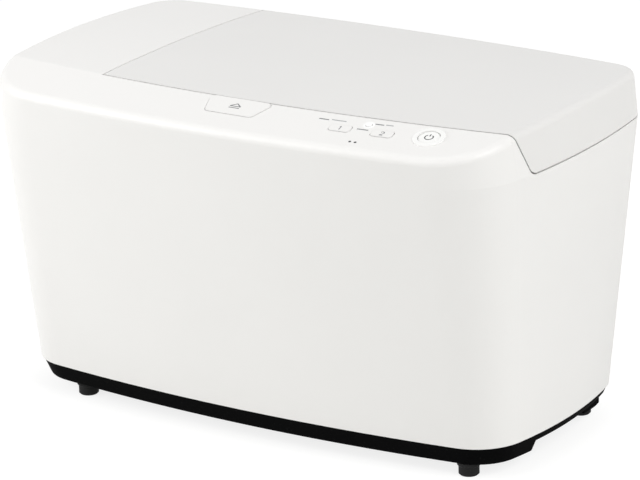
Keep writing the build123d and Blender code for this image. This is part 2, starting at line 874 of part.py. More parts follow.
# ---- chassis plate, motor and belt drive ----
plate_top = chassis_height + chassis_plate_thickness
with BuildPart() as chassis_plate:
    with BuildSketch(Plane.XY.offset(chassis_height)) as plate_face:
        with Locations(((chassis_left + chassis_right) / 2, (chassis_front + chassis_rear) / 2)):
            RectangleRounded(chassis_right - chassis_left, chassis_rear - chassis_front, pillar_radius)
        with Locations((drive_x, drive_y)):
            Circle(shaft_radius + 3, mode=Mode.SUBTRACT)
        with Locations((motor_x, drive_y)):
            Circle(motor_boss_radius + panel_clearance, mode=Mode.SUBTRACT)
        with Locations(*pillar_places):
            Circle(screw_radius + screw_clearance, mode=Mode.SUBTRACT)
        with Locations((motor_x, chassis_front + motor_radius / 2)):
            with GridLocations(2 * vent_slot_pitch, 1, 3, 1):
                SlotOverall(motor_radius / 2, vent_slot_width, rotation=90, mode=Mode.SUBTRACT)
    extrude(amount=chassis_plate_thickness)
save("chassis_plate", chassis_plate.part)
save("chassis_screws", screws(pillar_places, plate_top, screw_length - 4, False))

with BuildPart() as drive_motor:
    with BuildSketch(Plane.XY.offset(plate_top)):
        with Locations((motor_x, drive_y)):
            Circle(motor_radius)
    extrude(amount=motor_height)
    fillet(drive_motor.edges().group_by(Axis.Z)[-1], 3)
    with BuildSketch(Plane.XY.offset(plate_top + motor_height / 4)):
        with Locations((motor_x, drive_y)):
            Circle(motor_radius)
            Circle(motor_radius - 2, mode=Mode.SUBTRACT)
    extrude(amount=motor_band_height, mode=Mode.SUBTRACT)
    with BuildSketch(Plane.XY.offset(plate_top + motor_height)):
        with Locations((motor_x, drive_y)):
            Circle(motor_boss_radius)
    extrude(amount=motor_boss_height)
    with BuildSketch(Plane.XY.offset(plate_top)):
        with Locations((motor_x, drive_y)):
            Circle(motor_boss_radius)
    extrude(amount=-motor_boss_height)
    with BuildSketch(Plane.XY.offset(plate_top - motor_boss_height)):
        with Locations((motor_x, drive_y)):
            Circle(motor_shaft_radius + shaft_clearance)
    extrude(amount=motor_height / 2, mode=Mode.SUBTRACT)
save("drive_motor", drive_motor.part)

belt_low = pulley_low + pulley_flange_thickness + belt_side_gap
pulley_top = belt_low + belt_width + belt_side_gap + pulley_flange_thickness
with BuildPart() as motor_shaft:
    with BuildSketch(Plane.XY.offset(pulley_low - 1)):
        with Locations((motor_x, drive_y)):
            Circle(motor_shaft_radius)
    extrude(amount=plate_top + motor_height / 2 - motor_boss_height - pulley_low)
save("motor_shaft", motor_shaft.part)


def pulley(x, flange_radius, bore):
    """Flanged belt pulley, its groove deep enough for the belt."""
    edge = x + flange_radius
    rim = edge - pulley_groove
    with BuildPart() as wheel:
        with BuildSketch(Plane.XZ.offset(-drive_y)):
            with BuildLine():
                Polyline(
                    (x + bore, pulley_low),
                    (edge, pulley_low),
                    (edge, pulley_low + pulley_flange_thickness / 2),
                    (rim, pulley_low + pulley_flange_thickness),
                    (rim, pulley_top - pulley_flange_thickness),
                    (edge, pulley_top - pulley_flange_thickness / 2),
                    (edge, pulley_top),
                    (x + bore, pulley_top),
                    close=True,
                )
            make_face()
        revolve(axis=Axis((x, drive_y, 0), (0, 0, 1)))
    return wheel.part


save("motor_pulley", pulley(motor_x, small_pulley_flange_radius, motor_shaft_radius))
plain_pulley = pulley(drive_x, pulley_flange_radius, shaft_radius)
with BuildPart() as drive_pulley:
    add(plain_pulley)
    with BuildSketch(Plane.XY.offset(pulley_low)):
        with Locations((drive_x, drive_y)):
            with PolarLocations((pulley_flange_radius + hub_radius) / 2, pulley_holes):
                Circle(pulley_hole_radius)
    extrude(amount=pulley_top - pulley_low, mode=Mode.SUBTRACT)
save("drive_pulley", drive_pulley.part)

belt_inside = belt_clearance - pulley_groove
with BuildPart() as drive_belt:
    for grow, mode in ((belt_thickness, Mode.ADD), (0, Mode.SUBTRACT)):
        with BuildSketch(Plane.XY.offset(belt_low)) as loop:
            with Locations((drive_x, drive_y)):
                Circle(pulley_flange_radius + belt_inside + grow)
            with Locations((motor_x, drive_y)):
                Circle(small_pulley_flange_radius + belt_inside + grow)
            make_hull(loop.edges())
        extrude(amount=belt_width, mode=mode)
save("drive_belt", drive_belt.part)

# ---- bearing housing, bearings, shaft and coupling ----
with BuildPart() as bearing_housing:
    with BuildSketch(Plane.XZ.offset(-drive_y)):
        with BuildLine():
            bore = drive_x + bearing_radius + shaft_clearance
            Polyline(
                (bore, plate_top),
                (drive_x + housing_flange_radius, plate_top),
                (drive_x + housing_flange_radius, plate_top + housing_flange),
                (drive_x + housing_radius, plate_top + housing_flange),
                (drive_x + housing_radius, liner_floor),
                (bore, liner_floor),
                (bore, liner_floor - bearing_height),
                (drive_x + bearing_radius - 2, liner_floor - bearing_height),
                (drive_x + bearing_radius - 2, plate_top + bearing_height),
                (bore, plate_top + bearing_height),
                close=True,
            )
        make_face()
    revolve(axis=Axis((drive_x, drive_y, 0), (0, 0, 1)))
    with BuildSketch(Plane.XY.offset(plate_top)):
        with Locations((drive_x, drive_y)):
            with PolarLocations((housing_flange_radius + housing_radius) / 2, 4, start_angle=45):
                Circle(screw_radius + screw_clearance)
    extrude(amount=housing_flange, mode=Mode.SUBTRACT)
save("bearing_housing", bearing_housing.part)

with BuildPart() as drive_bearings:
    for low in (plate_top, liner_floor - bearing_height):
        with BuildSketch(Plane.XY.offset(low)):
            with Locations((drive_x, drive_y)):
                Circle(bearing_radius)
                Circle(shaft_radius + shaft_clearance, mode=Mode.SUBTRACT)
        extrude(amount=bearing_height)
save("drive_bearings", drive_bearings.part)

lower_plate_top = bucket_floor - bucket_wall - dog_height - dog_gap - coupling_plate
with BuildPart() as drive_shaft:
    with BuildSketch(Plane.XY.offset(pulley_low - 1)):
        with Locations((drive_x, drive_y)):
            Circle(shaft_radius)
    extrude(amount=lower_plate_top - pulley_low + 1)
save("drive_shaft", drive_shaft.part)


with BuildSketch(Plane.XY) as dog_maker:
    with BuildLine():
        dog_inside = CenterArc((0, 0), coupling_radius - dog_width, 0, dog_angle)
        dog_outside = CenterArc((0, 0), coupling_radius, 0, dog_angle)
        Line(dog_inside @ 0, dog_outside @ 0)
        Line(dog_inside @ 1, dog_outside @ 1)
    make_face()
dog_face = dog_maker.sketch


def coupling(plate_low, dog_low, start, bore):
    """Round coupling half with driving dogs."""
    with BuildPart() as half:
        with BuildSketch(Plane.XY.offset(plate_low)):
            with Locations((drive_x, drive_y)):
                Circle(coupling_radius)
                Circle(bore, mode=Mode.SUBTRACT)
        extrude(amount=coupling_plate)
        with BuildSketch(Plane.XY.offset(dog_low)):
            with Locations((drive_x, drive_y)):
                with PolarLocations(0, dog_count, start_angle=start):
                    add(dog_face)
        extrude(amount=dog_height)
    return half.part


save("drive_coupling", coupling(lower_plate_top - coupling_plate, lower_plate_top, 0, shaft_radius))
upper_plate = lower_plate_top + dog_height + dog_gap
save("bucket_coupling", coupling(upper_plate, upper_plate - dog_height, 180 / dog_count, shaft_radius))

# ---- chamber liner, heater, bucket and stirring blade ----
with BuildPart() as chamber_liner:
    with BuildSketch(Plane.XZ.offset(-drive_y)):
        with BuildLine():
            foot_out = drive_x + liner_floor_radius + liner_wall
            top_out = drive_x + liner_top_radius + liner_wall
            Polyline(
                (drive_x + housing_radius, liner_floor),
                (foot_out, liner_floor),
                (top_out, deck_under - liner_wall),
                (top_out + liner_rim_width, deck_under - liner_wall),
                (top_out + liner_rim_width, deck_under),
                (top_out - liner_wall, deck_under),
                (foot_out - liner_wall, liner_floor + liner_wall),
                (drive_x + housing_radius, liner_floor + liner_wall),
                close=True,
            )
        make_face()
    revolve(axis=Axis((drive_x, drive_y, 0), (0, 0, 1)))
    with BuildSketch(Plane.YZ.offset(fan_x)):
        with Locations((fan_y, fan_z)):
            Circle(fan_inlet_radius - 2)
    extrude(amount=drive_x - fan_x, mode=Mode.SUBTRACT)
save("chamber_liner", chamber_liner.part)

with BuildPart() as heater:
    with BuildSketch(Plane.XZ.offset(-drive_y)):
        with Locations((drive_x + heater_radius, liner_floor - heater_tube)):
            Circle(heater_tube)
    revolve(axis=Axis((drive_x, drive_y, 0), (0, 0, 1)), revolution_arc=330)
save("heater", heater.part)

with BuildPart() as thermostat:
    with BuildSketch(Plane.XY.offset(liner_floor)):
        with Locations((drive_x, drive_y + thermostat_place + thermostat_radius / 2)):
            Circle(thermostat_radius)
    extrude(amount=-thermostat_height)
    with BuildSketch(Plane.XY.offset(liner_floor - thermostat_height)):
        with Locations((drive_x, drive_y + thermostat_place + thermostat_radius / 2)):
            with GridLocations(thermostat_radius, 1, 2, 1):
                Rectangle(1, 4)
    extrude(amount=-thermostat_height / 2)
save("thermostat", thermostat.part)

with BuildPart() as bucket:
    with BuildSketch(Plane.XZ.offset(-drive_y)):
        with BuildLine():
            low_out = drive_x + bucket_floor_radius + bucket_wall
            high_out = drive_x + bucket_top_radius + bucket_wall
            Polyline(
                (drive_x + hub_radius - 2, bucket_floor),
                (low_out - 4, bucket_floor),
                (low_out, bucket_floor + 4),
                (high_out, deck_top),
                (high_out + bucket_rim_width, deck_top),
                (high_out + bucket_rim_width, bucket_rim_top),
                (high_out - bucket_wall, bucket_rim_top),
                (low_out - bucket_wall, bucket_floor + 6),
                (low_out - bucket_wall - 4, bucket_floor + bucket_wall),
                (drive_x + hub_radius - 2, bucket_floor + bucket_wall),
                close=True,
            )
        make_face()
    revolve(axis=Axis((drive_x, drive_y, 0), (0, 0, 1)))
    with BuildSketch(Plane.XY.offset(deck_top)):
        with Locations((drive_x, drive_y)):
            with PolarLocations(bucket_top_radius + bucket_wall + bucket_rim_width / 2, 2):
                RectangleRounded(2 * grab_reach, grab_length, grab_reach / 2)
            Circle(bucket_top_radius + bucket_wall, mode=Mode.SUBTRACT)
    extrude(amount=bucket_rim_height)
save("bucket", bucket.part)

bushing_top = bucket_floor + bucket_wall + 1.5
with BuildPart() as bucket_bushing:
    with BuildSketch(Plane.XY.offset(bucket_floor)):
        with Locations((drive_x, drive_y)):
            Circle(hub_radius - 2)
    extrude(amount=bucket_wall)
    with BuildSketch(Plane.XY.offset(bucket_floor + bucket_wall)):
        with Locations((drive_x, drive_y)):
            Circle(hub_radius + 1)
    extrude(amount=1.5)
    with BuildSketch(Plane.XY.offset(bucket_floor)):
        with Locations((drive_x, drive_y)):
            Circle(shaft_radius + shaft_clearance)
    extrude(amount=hub_height, mode=Mode.SUBTRACT)
save("bucket_bushing", bucket_bushing.part)

blade_low = bushing_top + 0.5
with BuildPart() as blade_shaft:
    with BuildSketch(Plane.XY.offset(upper_plate)):
        with Locations((drive_x, drive_y)):
            Circle(shaft_radius)
    extrude(amount=blade_low + hub_height / 2 - upper_plate)
save("blade_shaft", blade_shaft.part)

blade_reach = bucket_radius(blade_low) - blade_wall_gap
with BuildSketch(Plane.XY) as arm_maker:
    with BuildLine():
        lead = ThreePointArc((0, -blade_width / 2), (blade_reach / 2, -blade_width), (blade_reach, 0))
        trail = ThreePointArc((0, blade_width / 2), (blade_reach / 2, 2), (blade_reach - 2, blade_width))
        Line(lead @ 0, trail @ 0)
        Line(lead @ 1, trail @ 1)
    make_face()
arm_face = arm_maker.sketch
with BuildPart() as stirring_blade:
    with BuildSketch(Plane.XZ.offset(-drive_y)):
        with BuildLine():
            Polyline(
                (drive_x, blade_low),
                (drive_x + hub_radius, blade_low),
                (drive_x + hub_radius - 3, blade_low + hub_height - 3),
                (drive_x + hub_radius - 6, blade_low + hub_height),
                (drive_x, blade_low + hub_height),
                close=True,
            )
        make_face()
    revolve(axis=Axis((drive_x, drive_y, 0), (0, 0, 1)))
    with BuildSketch(Plane.XY.offset(blade_low)):
        with Locations((drive_x, drive_y)):
            with PolarLocations(0, 2):
                add(arm_face)
    extrude(amount=blade_thickness)
    with BuildSketch(Plane.XY.offset(blade_low)):
        with Locations((drive_x, drive_y)):
            with PolarLocations(0, 2):
                add(arm_face)
            Circle(blade_reach - 8, mode=Mode.SUBTRACT)
    extrude(amount=blade_tip_height)
    with BuildSketch(Plane.XY.offset(blade_low + hub_height / 2)):
        with Locations((drive_x, drive_y)):
            with PolarLocations(0, 2, start_angle=90):
                add(arm_face)
            Circle(blade_reach * 0.7, mode=Mode.INTERSECT)
    extrude(amount=blade_thickness)
    with BuildSketch(Plane.XY.offset(blade_low)):
        with Locations((drive_x, drive_y)):
            Circle(shaft_radius)
    extrude(amount=hub_height / 2, mode=Mode.SUBTRACT)
save("stirring_blade", stirring_blade.part)

# ---- exhaust fan: scroll housing, impeller, motor, duct from the chamber ----
fan_low_x = fan_x - fan_width / 2
fan_high_x = fan_x + fan_width / 2
outlet_top = fan_z + fan_scroll_radius
with BuildPart() as fan_housing:
    for inset, mode in ((0, Mode.ADD), (fan_wall, Mode.SUBTRACT)):
        with BuildSketch(Plane.YZ.offset(fan_low_x + inset)):
            with Locations((fan_y, fan_z)):
                Circle(fan_scroll_radius - inset)
            with Locations((fan_y, outlet_top - inset)):
                Rectangle(
                    filter_front - fan_y + inset,
                    fan_outlet_height - 2 * inset,
                    align=(Align.MIN, Align.MAX),
                )
        extrude(amount=fan_width - 2 * inset, mode=mode)
    with BuildSketch(Plane.YZ.offset(fan_x)):
        with Locations((fan_y, fan_z)):
            Circle(fan_inlet_radius)
    extrude(amount=fan_width, mode=Mode.SUBTRACT)
    with BuildSketch(Plane.YZ.offset(fan_low_x)):
        with Locations((fan_y, fan_z)):
            Circle(fan_shaft_radius + 1)
    extrude(amount=fan_wall, mode=Mode.SUBTRACT)
save("fan_housing", fan_housing.part)

with BuildPart() as fan_motor:
    with BuildSketch(Plane.YZ.offset(fan_low_x)):
        with Locations((fan_y, fan_z)):
            Circle(fan_motor_radius)
            Circle(fan_shaft_radius + shaft_clearance, mode=Mode.SUBTRACT)
    extrude(amount=-fan_motor_length)
save("fan_motor", fan_motor.part)

impeller_low_x = fan_x - impeller_width / 2
with BuildPart() as fan_impeller:
    with BuildSketch(Plane.YZ.offset(impeller_low_x)):
        with Locations((fan_y, fan_z)):
            Circle(impeller_radius)
    extrude(amount=impeller_plate)
    with BuildSketch(Plane.YZ.offset(impeller_low_x)):
        with Locations((fan_y, fan_z)):
            with PolarLocations(impeller_radius * 0.8, impeller_blades):
                with Locations(Location((0, 0, 0), (0, 0, 35))):
                    Rectangle(impeller_radius * 0.4, 1.2)
            Circle(impeller_radius, mode=Mode.INTERSECT)
    extrude(amount=impeller_width)
    with BuildSketch(Plane.YZ.offset(impeller_low_x + impeller_width - impeller_plate)):
        with Locations((fan_y, fan_z)):
            Circle(impeller_radius)
            Circle(impeller_radius - 5, mode=Mode.SUBTRACT)
    extrude(amount=impeller_plate)
    with BuildSketch(Plane.YZ.offset(impeller_low_x)):
        with Locations((fan_y, fan_z)):
            Circle(impeller_hub)
    extrude(amount=impeller_width / 2)
    with BuildSketch(Plane.YZ.offset(impeller_low_x)):
        with Locations((fan_y, fan_z)):
            Circle(fan_shaft_radius)
    extrude(amount=impeller_width, mode=Mode.SUBTRACT)
save("fan_impeller", fan_impeller.part)

with BuildPart() as fan_shaft:
    with BuildSketch(Plane.YZ.offset(fan_low_x - fan_motor_length)):
        with Locations((fan_y, fan_z)):
            Circle(fan_shaft_radius)
    extrude(amount=impeller_low_x + impeller_width / 2 - fan_low_x + fan_motor_length)
save("fan_shaft", fan_shaft.part)

with BuildPart() as air_duct:
    with BuildSketch(Plane.YZ.offset(fan_high_x)):
        with Locations((fan_y, fan_z)):
            Circle(fan_inlet_radius + duct_wall)
            Circle(fan_inlet_radius, mode=Mode.SUBTRACT)
    extrude(amount=drive_x - fan_high_x)
    with BuildSketch(Plane.YZ.offset(fan_high_x)):
        with Locations((fan_y, fan_z)):
            Circle(fan_inlet_radius + 3 * duct_wall)
            Circle(fan_inlet_radius, mode=Mode.SUBTRACT)
    extrude(amount=duct_wall)
    with BuildSketch(Plane.XZ.offset(-drive_y)):
        with BuildLine():
            Polyline(
                (drive_x, liner_floor),
                (drive_x + liner_floor_radius + liner_wall, liner_floor),
                (drive_x + liner_top_radius + liner_wall, deck_under - liner_wall),
                (drive_x, deck_under - liner_wall),
                close=True,
            )
        make_face()
    revolve(axis=Axis((drive_x, drive_y, 0), (0, 0, 1)), mode=Mode.SUBTRACT)
save("air_duct", air_duct.part)

# ---- carbon filter drawer in the rear wall ----
cover_outside = box_part(
    (filter_left + filter_cover_gap, filter_right - filter_cover_gap),
    (filter_front, reach),
    (filter_low + filter_cover_gap, filter_high - filter_cover_gap),
)
with BuildPart() as filter_tunnel:
    with BuildSketch(Plane.XZ.offset(-filter_front)):
        with Locations((filter_x, filter_z)):
            Rectangle(filter_width + 2 * filter_tunnel_wall, filter_height + 2 * filter_tunnel_wall)
            Rectangle(filter_width, filter_height, mode=Mode.SUBTRACT)
    extrude(amount=-reach)
    with BuildSketch(Plane.XZ.offset(-filter_front)):
        with Locations((filter_x, filter_z)):
            Rectangle(filter_width + 2 * filter_tunnel_wall, filter_height + 2 * filter_tunnel_wall)
        with Locations((fan_x, outlet_top - fan_outlet_height / 2)):
            Rectangle(fan_width - 2 * fan_wall, fan_outlet_height - 2 * fan_wall, mode=Mode.SUBTRACT)
    extrude(amount=-filter_tunnel_wall)
    add(casing_hollow, mode=Mode.INTERSECT)
save("filter_tunnel", filter_tunnel.part)

with BuildPart() as filter_cover:
    add(outer_form)
    add(inner_form, mode=Mode.SUBTRACT)
    add(cover_outside, mode=Mode.INTERSECT)
    with BuildSketch(Plane.XZ):
        with Locations((filter_x, filter_z)):
            with GridLocations(1, grille_slot_pitch, 1, grille_slots):
                SlotOverall(filter_width - 2 * grille_slot_pitch, grille_slot_width)
    extrude(amount=-reach, mode=Mode.SUBTRACT)
save("filter_cover", filter_cover.part)

tray_width = filter_width - 2 * filter_slide_gap
tray_height = filter_height - 2 * filter_slide_gap
tray_front = filter_front + filter_tunnel_wall + filter_slide_gap
with BuildPart() as filter_tray:
    with BuildSketch(Plane.XZ.offset(-tray_front)):
        with Locations((filter_x, filter_z)):
            Rectangle(tray_width, tray_height)
            Rectangle(tray_width - 2 * filter_tray_wall, tray_height - 2 * filter_tray_wall, mode=Mode.SUBTRACT)
    extrude(amount=-reach)
    with BuildSketch(Plane.XZ.offset(-tray_front)):
        with Locations((filter_x, filter_z)):
            Rectangle(tray_width, tray_height)
            Rectangle(tray_width - 6 * filter_tray_wall, tray_height - 6 * filter_tray_wall, mode=Mode.SUBTRACT)
    extrude(amount=-filter_tray_wall)
    add(inner_form, mode=Mode.INTERSECT)
save("filter_tray", filter_tray.part)

with BuildPart() as carbon_filter:
    with BuildSketch(Plane.XZ.offset(-tray_front - filter_tray_wall)):
        with Locations((filter_x, filter_z)):
            Rectangle(tray_width - 2 * filter_tray_wall, tray_height - 2 * filter_tray_wall)
    extrude(amount=-filter_length)
    with BuildSketch(Plane.XZ.offset(-tray_front - filter_tray_wall)):
        with Locations((filter_x, filter_z)):
            with GridLocations(grille_slot_pitch, grille_slot_pitch, grille_slots, grille_slots):
                RegularPolygon(grille_slot_width, 6)
    extrude(amount=-filter_length / 4, mode=Mode.SUBTRACT)
save("carbon_filter", carbon_filter.part)

# ---- latch button, lever, bracket and pin ----
with BuildPart() as latch_button:
    extrude(latch_shape(latch_plane.offset(control_proud)), amount=-latch_thickness - control_proud)
    with BuildSketch(latch_plane.offset(-latch_thickness)):
        Rectangle(lever_width - 4, latch_stem_depth)
    extrude(amount=latch_thickness - latch_stem_reach)
save("latch_button", latch_button.part)

stem_foot = latch_plane.offset(-latch_stem_reach).origin
touch_z = stem_foot.Z - lever_touch_gap - latch_stem_depth / 2 * sin(strip_slope)
hook_front = strike_y - catch_nose - striker_gap
with BuildPart() as latch_lever:
    with BuildSketch(Plane.YZ.offset(latch_x - lever_width / 2)):
        with BuildLine():
            Polyline(
                (stem_foot.Y - latch_stem_depth, touch_z),
                (stem_foot.Y + latch_stem_depth, touch_z),
                (lever_pivot_y + 3, lever_pivot_z + 7),
                (hook_front - 4, catch_low + 5),
                (hook_front, catch_low + 5),
                (hook_front, catch_low + 2),
                (hook_front - 3, lever_pivot_z),
                (lever_pivot_y + 3, lever_pivot_z - 5),
                (lever_pivot_y - 3, lever_pivot_z - 5),
                (lever_pivot_y - 6, lever_pivot_z + 4),
                close=True,
            )
        make_face()
        with Locations((lever_pivot_y, lever_pivot_z)):
            Circle(lever_pin_radius + shaft_clearance, mode=Mode.SUBTRACT)
    extrude(amount=lever_width)
save("latch_lever", latch_lever.part)

with BuildPart() as latch_pin:
    with BuildSketch(Plane.YZ.offset(latch_x - lever_width / 2 - bracket_gap - bracket_wall)):
        with Locations((lever_pivot_y, lever_pivot_z)):
            Circle(lever_pin_radius)
    extrude(amount=lever_width + 2 * bracket_gap + 2 * bracket_wall)
save("latch_pin", latch_pin.part)

with BuildPart() as latch_bracket:
    for side in (-1, 1):
        middle = latch_x + side * (lever_width / 2 + bracket_gap + bracket_wall / 2)
        with BuildSketch(Plane.YZ.offset(middle - bracket_wall / 2)):
            with BuildLine():
                Polyline(
                    (slot_front - 1, deck_under),
                    (slot_front + 5, deck_under),
                    (slot_front + 5, deck_under - 8),
                    (lever_pivot_y + 10, lever_pivot_z - 5),
                    (lever_pivot_y - 5, lever_pivot_z - 5),
                    (lever_pivot_y - 5, lever_pivot_z + 4),
                    close=True,
                )
            make_face()
            with Locations((lever_pivot_y, lever_pivot_z)):
                Circle(lever_pin_radius, mode=Mode.SUBTRACT)
        extrude(amount=bracket_wall)
    with BuildSketch(Plane.XY.offset(lever_pivot_z - 5)):
        with Locations((latch_x, lever_pivot_y + 8.5)):
            Rectangle(lever_width + 2 * bracket_gap + 2 * bracket_wall, 3)
    extrude(amount=3)
save("latch_bracket", latch_bracket.part)

# ---- keys, power button, lamp and control board ----
key_rest = wall + key_seat_gap
key_stem = board_sink - switch_height - key_travel - lever_touch_gap - key_rest - key_flange
for name, plane in zip(("key_left", "key_right"), key_planes):
    with BuildPart() as key:
        extrude(key_shape(plane.offset(control_proud)), amount=-key_rest - control_proud)
        extrude(key_shape(plane.offset(-key_rest), key_flange), amount=-key_flange)
        extrude(disc_shape(plane.offset(-key_rest - key_flange), key_flange * 2), amount=-key_stem)
    save(name, key.part)

with BuildPart() as power_ring:
    extrude(disc_shape(power_plane, ring_radius), amount=ring_proud)
    fillet(power_ring.faces().sort_by(Axis.Z)[-1].edges(), ring_proud / 2)
    extrude(disc_shape(power_plane, power_radius + ring_sleeve + control_gap), amount=-2 * wall)
    extrude(disc_shape(power_plane, power_radius + control_gap), amount=3 * wall, both=True, mode=Mode.SUBTRACT)
save("power_ring", power_ring.part)

power_rest = 2 * wall + key_seat_gap
power_stem = board_sink - switch_height - power_travel - lever_touch_gap - power_rest
with BuildPart() as power_button:
    extrude(disc_shape(power_plane.offset(control_proud), power_radius), amount=-power_rest - control_proud)
    fillet(power_button.faces().sort_by(Axis.Z)[-1].edges(), 2 * control_proud)
    extrude(disc_shape(power_plane.offset(-power_rest), key_flange), amount=-power_stem)
save("power_button", power_button.part)

with BuildPart() as lamp_lens:
    extrude(disc_shape(lamp_plane.offset(control_proud), lamp_radius - control_gap / 2), amount=-wall - 1)
save("lamp_lens", lamp_lens.part)

with BuildPart() as control_board:
    with BuildSketch(board_plane):
        Rectangle(board_length, board_width)
    extrude(amount=-board_thickness)
    for plane in key_planes:
        with BuildSketch(plane.offset(-board_sink)):
            Rectangle(switch_height + 1, switch_height + 1)
        extrude(amount=switch_height)
    with BuildSketch(power_plane.offset(-board_sink)):
        Rectangle(switch_height + 1, switch_height + 1)
    extrude(amount=switch_height)
save("control_board", control_board.part)

# ---- power board, cord inlet and lid switch ----
with BuildPart() as power_board:
    with BuildSketch(Plane.YZ.offset(power_board_x)):
        with Locations((0, plate_top + power_board_height / 2)):
            Rectangle(power_board_length, power_board_height)
    extrude(amount=board_thickness)
    with BuildSketch(Plane.YZ.offset(power_board_x)):
        with Locations((-power_board_length / 4, plate_top + power_board_height / 2)):
            Rectangle(power_part_size, power_part_size)
        with Locations((power_board_length / 4, plate_top + power_board_height / 3)):
            Circle(power_part_size / 3)
    extrude(amount=-power_part_size * 0.8)
    with BuildSketch(Plane.XY.offset(body_base + base_floor)):
        with Locations((power_board_x, -power_board_length / 3), (power_board_x, power_board_length / 3)):
            Rectangle(2 * pillar_radius, pillar_radius)
    extrude(amount=chassis_height - body_base - base_floor)
    with BuildSketch(Plane.XY.offset(chassis_height)):
        with Locations((power_board_x, 0)):
            Rectangle(2 * pillar_radius, power_board_length)
    extrude(amount=chassis_plate_thickness)
save("power_board", power_board.part)

inlet_wall_y = draft(rear_depth_base, rear_depth_top, inlet_z)
inlet_wall_y = inlet_wall_y - bow_radius + sqrt(bow_radius ** 2 - inlet_x ** 2)
with BuildPart() as cord_inlet:
    with BuildSketch(Plane.XZ.offset(-inlet_wall_y)):
        with Locations((inlet_x, inlet_z)):
            Circle(inlet_radius + inlet_flange)
    extrude(amount=inlet_radius, both=True)
    add(outer_form, mode=Mode.SUBTRACT)
    with BuildSketch(Plane.XZ.offset(-inlet_wall_y - inlet_proud)):
        with Locations((inlet_x, inlet_z)):
            Circle(reach)
    extrude(amount=-reach, mode=Mode.SUBTRACT)
    with BuildSketch(Plane.XZ.offset(-inlet_wall_y - inlet_proud)):
        with Locations((inlet_x, inlet_z)):
            Circle(inlet_radius - screw_clearance)
    extrude(amount=2 * inlet_radius)
    with BuildSketch(Plane.XZ.offset(-inlet_wall_y - inlet_proud)):
        with Locations((inlet_x, inlet_z)):
            Circle(inlet_bore)
    extrude(amount=2 * inlet_radius, mode=Mode.SUBTRACT)
save("cord_inlet", cord_inlet.part)
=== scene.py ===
# An electric food waste composter for the worktop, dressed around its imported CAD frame.
from math import asin, atan, cos, radians, sin

import bpy
import numpy as np
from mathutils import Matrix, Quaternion, Vector


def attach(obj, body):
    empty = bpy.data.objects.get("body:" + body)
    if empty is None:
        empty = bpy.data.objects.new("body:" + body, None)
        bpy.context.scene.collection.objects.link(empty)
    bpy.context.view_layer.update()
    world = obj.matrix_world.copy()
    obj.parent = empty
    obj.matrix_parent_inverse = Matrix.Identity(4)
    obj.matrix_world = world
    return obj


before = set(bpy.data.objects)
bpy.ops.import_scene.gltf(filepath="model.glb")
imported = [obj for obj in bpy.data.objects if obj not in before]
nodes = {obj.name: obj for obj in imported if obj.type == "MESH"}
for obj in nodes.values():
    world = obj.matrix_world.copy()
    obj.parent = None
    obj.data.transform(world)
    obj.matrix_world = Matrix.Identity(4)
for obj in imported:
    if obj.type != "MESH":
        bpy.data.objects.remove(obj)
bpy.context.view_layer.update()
print("frame loaded with", len(nodes), "nodes")

mm = 0.001

view = {
    "place": (1.4964, -2.2270, 1.0049),
    "aim": (0.0065, -0.0047, 0.1215),
    "lens": 225.5,
    "sensor": 36.0,
    "rollDegrees": -1.579,
}
studio = {
    "floorHalf": 6.0,
    "floorHex": "E6E6E4",
    "floorDiffuseShare": 0.34,   # the part of the floor's white that comes from the lamps
    "floorGlow": 0.82,
    "worldFill": 0.43,
    "lamps": [
        # place, aim, size in metres, watts
        {"place": (3.0, -0.7, 2.5), "size": 2.2, "watts": 78.0},
        {"place": (-1.25, -1.15, 0.85), "size": 1.2, "watts": 17.5},
        {"place": (0.2, 0.2, 2.6), "size": 2.0, "watts": 6.0},
    ],
}


# ---------- camera, lamps and floor ----------
def linearColour(hexText, alpha=1.0):
    # sRGB hex text to a linear colour, by the sRGB curve
    parts = [int(hexText[i : i + 2], 16) / 255 for i in (0, 2, 4)]
    return tuple(p / 12.92 if p <= 0.04045 else ((p + 0.055) / 1.055) ** 2.4 for p in parts) + (alpha,)


def addNode(tree, kind, settings=None, inputs=None):
    # one node with its settings; an input is a value, or the output socket that it is linked from
    node = tree.nodes.new(kind)
    for key, value in (settings or {}).items():
        setattr(node, key, value)
    for key, value in (inputs or {}).items():
        if isinstance(value, bpy.types.NodeSocket):
            tree.links.new(value, node.inputs[key])
        else:
            node.inputs[key].default_value = value
    return node


def aimed(place, aim):
    return (Vector(aim) - Vector(place)).to_track_quat("-Z", "Y")


def placeCamera():
    data = bpy.data.cameras.new("studioCamera")
    data.lens = view["lens"]
    data.sensor_width = view["sensor"]
    data.clip_end = 50
    camera = bpy.data.objects.new("studioCamera", data)
    bpy.context.scene.collection.objects.link(camera)
    camera.location = view["place"]
    camera.rotation_mode = "QUATERNION"
    roll = Quaternion((0, 0, 1), radians(view["rollDegrees"]))
    camera.rotation_quaternion = aimed(view["place"], view["aim"]) @ roll
    bpy.context.scene.camera = camera


def placeLamps():
    for number, lamp in enumerate(studio["lamps"]):
        data = bpy.data.lights.new(f"softbox{number}", "AREA")
        data.shape = "SQUARE"
        data.size = lamp["size"]
        data.energy = lamp["watts"]
        box = bpy.data.objects.new(f"softbox{number}", data)
        bpy.context.scene.collection.objects.link(box)
        box.location = lamp["place"]
        box.rotation_mode = "QUATERNION"
        box.rotation_quaternion = aimed(lamp["place"], view["aim"])


def seenRays(tree):
    # 1 for rays that show the background: from the camera, in a reflection or through a clear piece
    rays = addNode(tree, "ShaderNodeLightPath").outputs
    first = addNode(
        tree, "ShaderNodeMath", {"operation": "MAXIMUM"}, {0: rays["Is Camera Ray"], 1: rays["Is Glossy Ray"]}
    )
    clear = rays["Is Transmission Ray"]
    both = addNode(tree, "ShaderNodeMath", {"operation": "MAXIMUM"}, {0: first.outputs[0], 1: clear})
    return both.outputs[0]


